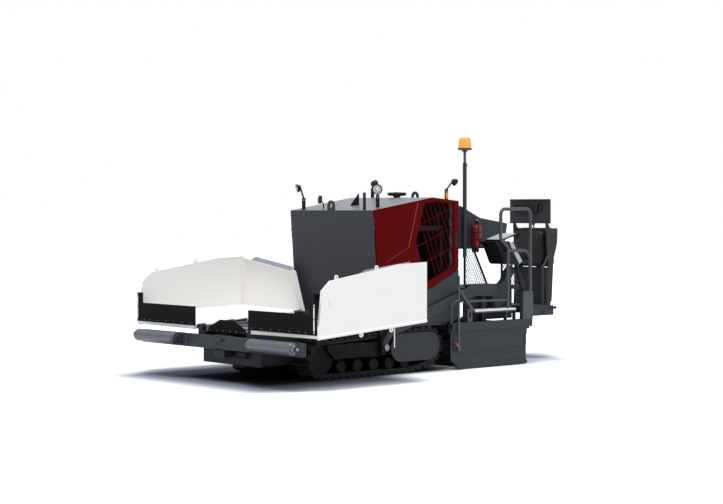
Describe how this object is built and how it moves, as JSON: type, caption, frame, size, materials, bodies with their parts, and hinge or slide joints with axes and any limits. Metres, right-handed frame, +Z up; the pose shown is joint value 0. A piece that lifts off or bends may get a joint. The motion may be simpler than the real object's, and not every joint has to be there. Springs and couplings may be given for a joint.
{
  "type": "compact tracked asphalt paver",
  "caption": "Compact tracked asphalt paver with folding hopper wings, raised engine hood, augers, extendable screed, side rails and a sliding rear seat.",
  "frame": {"origin": "on the ground under the middle of the machine's length and width", "axes": "+X forward, the paving direction; +Y the machine's left; +Z up"},
  "size_m": [4.801, 2.932, 2.4881],
  "materials": {
    "frame_black": "satin dark paint",
    "wear_steel": "worn bright steel",
    "rubber": "matt black rubber",
    "track_rubber": "worn black",
    "body_grey": "satin dark grey paint",
    "running_steel": "dark cast steel",
    "radiator": "dull fins",
    "plastic_black": "matt black plastic",
    "lamp_lens": "clear lens",
    "extinguisher_red": "gloss red",
    "wing_white": "gloss white paint",
    "roller_grey": "satin grey paint",
    "body_red": "gloss deep red paint",
    "rail_grey": "satin grey paint",
    "seat_vinyl": "black-brown vinyl",
    "amber_lens": "amber lens"
  },
  "bodies": {
    "chassis": {"main_frame": "frame_black", "conveyor": "wear_steel", "apron_flap": "rubber", "track_left": "track_rubber", "track_right": "track_rubber", "track_frame_left": "frame_black", "track_frame_right": "frame_black", "hood_shell": "body_grey", "lower_body": "body_grey", "lifting_eyes": "body_grey", "engine_block": "running_steel", "cooler_pack": "radiator", "exhaust_pipe": "wear_steel", "air_cleaner_cap": "plastic_black", "work_lamps": "plastic_black", "lamp_lenses": "lamp_lens", "rear_deck": "body_grey", "tank_box": "body_grey", "extinguisher": "extinguisher_red"},
    "wing_left": {"wing_left": "wing_white", "wing_flap_left": "rubber"},
    "wing_right": {"wing_right": "wing_white", "wing_flap_right": "rubber"},
    "push_beam": {"push_beam": "body_grey"},
    "push_roller_left": {"push_roller_left": "roller_grey"},
    "push_roller_right": {"push_roller_right": "roller_grey"},
    "engine_door_left": {"engine_door_left": "body_red"},
    "engine_door_right": {"engine_door_right": "body_red"},
    "screed": {"screed_body": "frame_black", "tow_arm_left": "body_grey", "tow_arm_right": "body_grey"},
    "extension_left": {"screed_extension_left": "body_grey", "side_rail_left": "rail_grey", "console_left": "plastic_black"},
    "extension_right": {"screed_extension_right": "body_grey", "side_rail_right": "rail_grey", "console_right": "plastic_black"},
    "side_gate_left": {"side_gate_left": "body_grey"},
    "side_gate_right": {"side_gate_right": "body_grey"},
    "auger_left": {"auger_left": "running_steel"},
    "auger_right": {"auger_right": "running_steel"},
    "seat_pod": {"seat_frame": "body_grey", "seat_back": "seat_vinyl"},
    "tip_up_seat": {"seat_pan": "plastic_black", "seat_cushion": "seat_vinyl"},
    "beacon": {"beacon_mast": "rail_grey", "beacon_lens": "amber_lens"}
  },
  "joints": [
    {"name": "wing_fold_left", "type": "hinge", "parent": "chassis", "child": "wing_left", "pos_m": [1.51, 0.432, 0.56679], "axis": [0.9978, 0, -0.0659], "range_deg": [0, 75]},
    {"name": "push_roller_spin_left", "type": "hinge", "parent": "push_beam", "child": "push_roller_left", "pos_m": [2.343, 0.93, 0.4], "axis": [0, 1, 0], "continuous": true},
    {"name": "engine_door_swing_left", "type": "hinge", "parent": "chassis", "child": "engine_door_left", "pos_m": [0.779, 0.644, 1.687], "axis": [-0.068, 0, -0.9977], "range_deg": [0, 75]},
    {"name": "extension_slide_left", "type": "slide", "parent": "screed", "child": "extension_left", "axis": [0, 1, 0], "range_m": [0, 0.45]},
    {"name": "side_gate_float_left", "type": "slide", "parent": "extension_left", "child": "side_gate_left", "axis": [0, 0, 1], "range_m": [0, 0.05]},
    {"name": "auger_spin_left", "type": "hinge", "parent": "chassis", "child": "auger_left", "pos_m": [-0.43, 0.35, 0.265], "axis": [0, 1, 0], "continuous": true},
    {"name": "wing_fold_right", "type": "hinge", "parent": "chassis", "child": "wing_right", "pos_m": [1.51, -0.432, 0.56679], "axis": [-0.9978, 0, 0.0659], "range_deg": [0, 75]},
    {"name": "push_roller_spin_right", "type": "hinge", "parent": "push_beam", "child": "push_roller_right", "pos_m": [2.343, -0.93, 0.4], "axis": [0, 1, 0], "continuous": true},
    {"name": "engine_door_swing_right", "type": "hinge", "parent": "chassis", "child": "engine_door_right", "pos_m": [0.779, -0.644, 1.687], "axis": [0.068, 0, 0.9977], "range_deg": [0, 75]},
    {"name": "extension_slide_right", "type": "slide", "parent": "screed", "child": "extension_right", "axis": [0, -1, 0], "range_m": [0, 0.45]},
    {"name": "side_gate_float_right", "type": "slide", "parent": "extension_right", "child": "side_gate_right", "axis": [0, 0, 1], "range_m": [0, 0.05]},
    {"name": "auger_spin_right", "type": "hinge", "parent": "chassis", "child": "auger_right", "pos_m": [-0.43, -0.35, 0.265], "axis": [0, 1, 0], "continuous": true},
    {"name": "push_beam_swing", "type": "hinge", "parent": "chassis", "child": "push_beam", "pos_m": [2.2, 0, 0.386], "axis": [0, 0, 1], "range_deg": [-4, 4]},
    {"name": "screed_lift", "type": "hinge", "parent": "chassis", "child": "screed", "pos_m": [0.65, 0, 0.29], "axis": [0, 1, 0], "range_deg": [0, 8]},
    {"name": "seat_slide", "type": "slide", "parent": "chassis", "child": "seat_pod", "axis": [0, 1, 0], "range_m": [-0.3, 0.16]},
    {"name": "seat_tip", "type": "hinge", "parent": "seat_pod", "child": "tip_up_seat", "pos_m": [-2.205, 0.07, 1.048], "axis": [0, 1, 0], "range_deg": [0, 85]},
    {"name": "beacon_mast_slide", "type": "slide", "parent": "chassis", "child": "beacon", "axis": [0, 0, 1], "range_m": [-0.1, 0]}
  ]
}
